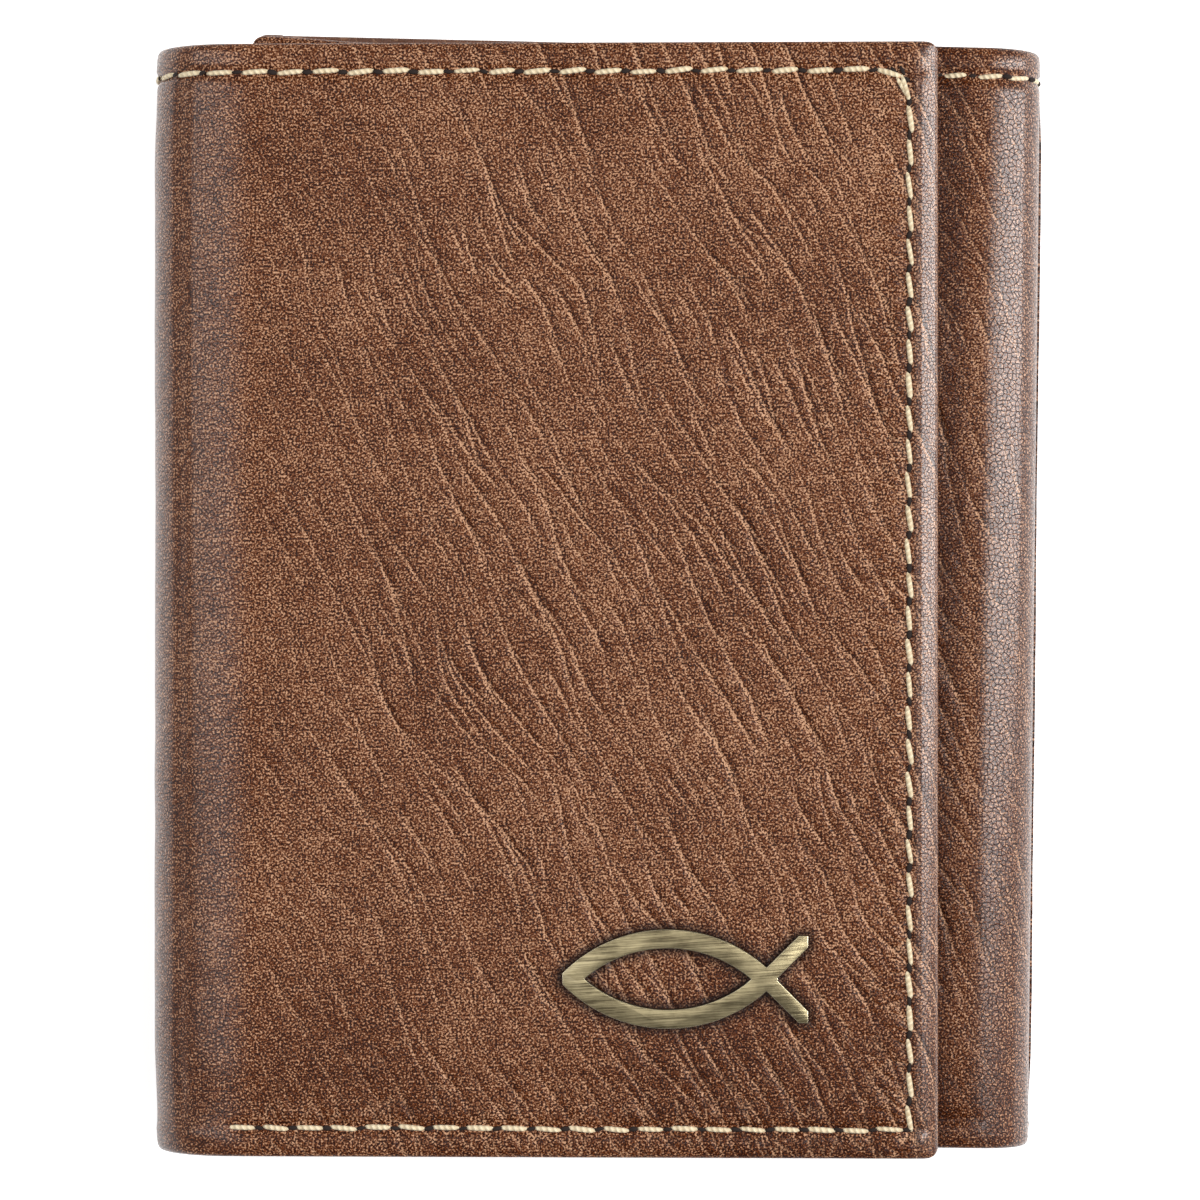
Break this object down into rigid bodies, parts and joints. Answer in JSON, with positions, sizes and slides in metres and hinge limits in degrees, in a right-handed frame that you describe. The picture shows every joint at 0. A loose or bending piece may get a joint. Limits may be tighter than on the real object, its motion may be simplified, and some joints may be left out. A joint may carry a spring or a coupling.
{
  "type": "trifold wallet",
  "caption": "Closed leather trifold wallet lying on its back, front leaf up, with hinged folds, card pockets, a card window and a fish-shaped badge.",
  "frame": {"origin": "middle of the closed wallet's outline, on the outer leather of the back leaf that it lies on", "axes": "+Z out of the front leaf, +Y to the mouth of the bill compartment, +X to the right fold"},
  "size_m": [0.0866, 0.1089, 0.0186],
  "materials": {
    "outer_leather": "satin",
    "inner_leather": "satin",
    "stiffener_board": "matte",
    "lining_cloth": "satin",
    "thread": "matte",
    "clear_film": "gloss",
    "aged_brass": "satin"
  },
  "bodies": {
    "back_leaf": {"back_cover": "outer_leather", "back_stiffener": "stiffener_board", "back_lining": "lining_cloth", "back_bill_wall": "inner_leather", "back_card_pocket_1": "inner_leather", "back_card_pocket_2": "inner_leather", "back_card_pocket_3": "inner_leather", "back_pocket_stitching": "thread", "back_hem_stitching": "thread", "back_bottom_stitching": "thread"},
    "left_fold": {"left_fold_cover": "outer_leather", "left_fold_lining": "lining_cloth", "left_fold_strip": "inner_leather", "left_fold_stitching": "thread"},
    "front_leaf": {"front_cover": "outer_leather", "front_stiffener": "stiffener_board", "front_lining": "lining_cloth", "front_bill_wall": "inner_leather", "id_window_frame": "inner_leather", "id_window_film": "clear_film", "id_window_stitching": "thread", "fish_badge": "aged_brass", "badge_posts": "aged_brass", "badge_washers": "aged_brass", "front_hem_stitching": "thread", "front_edge_stitching": "thread", "front_bottom_stitching": "thread"},
    "right_fold": {"right_fold_cover": "outer_leather", "right_fold_lining": "lining_cloth", "right_fold_strip": "inner_leather", "right_fold_stitching": "thread"},
    "inner_leaf": {"inner_cover": "outer_leather", "inner_stiffener": "stiffener_board", "inner_lining": "lining_cloth", "inner_bill_wall": "inner_leather", "inner_card_pocket_1": "inner_leather", "inner_card_pocket_2": "inner_leather", "inner_card_pocket_3": "inner_leather", "inner_pocket_stitching": "thread", "inner_hem_stitching": "thread", "inner_edge_stitching": "thread", "inner_bottom_stitching": "thread"}
  },
  "joints": [
    {"name": "left_fold_lower_line", "type": "hinge", "parent": "back_leaf", "child": "left_fold", "pos_m": [-0.04161, 0, 0.00164], "axis": [0, -1, 0], "range_deg": [0, 89.1]},
    {"name": "left_fold_upper_line", "type": "hinge", "parent": "left_fold", "child": "front_leaf", "pos_m": [-0.0418, 0, 0.01386], "axis": [0, -1, 0], "range_deg": [0, 89.1]},
    {"name": "right_fold_lower_line", "type": "hinge", "parent": "back_leaf", "child": "right_fold", "pos_m": [0.04155, -0.00005, 0.00118], "axis": [0.0113, 0.9999, 0], "range_deg": [0, 10.69]},
    {"name": "right_fold_upper_line", "type": "hinge", "parent": "right_fold", "child": "inner_leaf", "pos_m": [0.04158, -0.00005, 0.0098], "axis": [0.0113, 0.9999, 0], "range_deg": [0, 10.69]}
  ],
  "couplings": [
    {"joint": "left_fold_upper_line", "follows": "left_fold_lower_line", "ratio": 1},
    {"joint": "right_fold_lower_line", "follows": "left_fold_lower_line", "ratio": 0.12},
    {"joint": "right_fold_upper_line", "follows": "left_fold_lower_line", "ratio": 0.12}
  ]
}
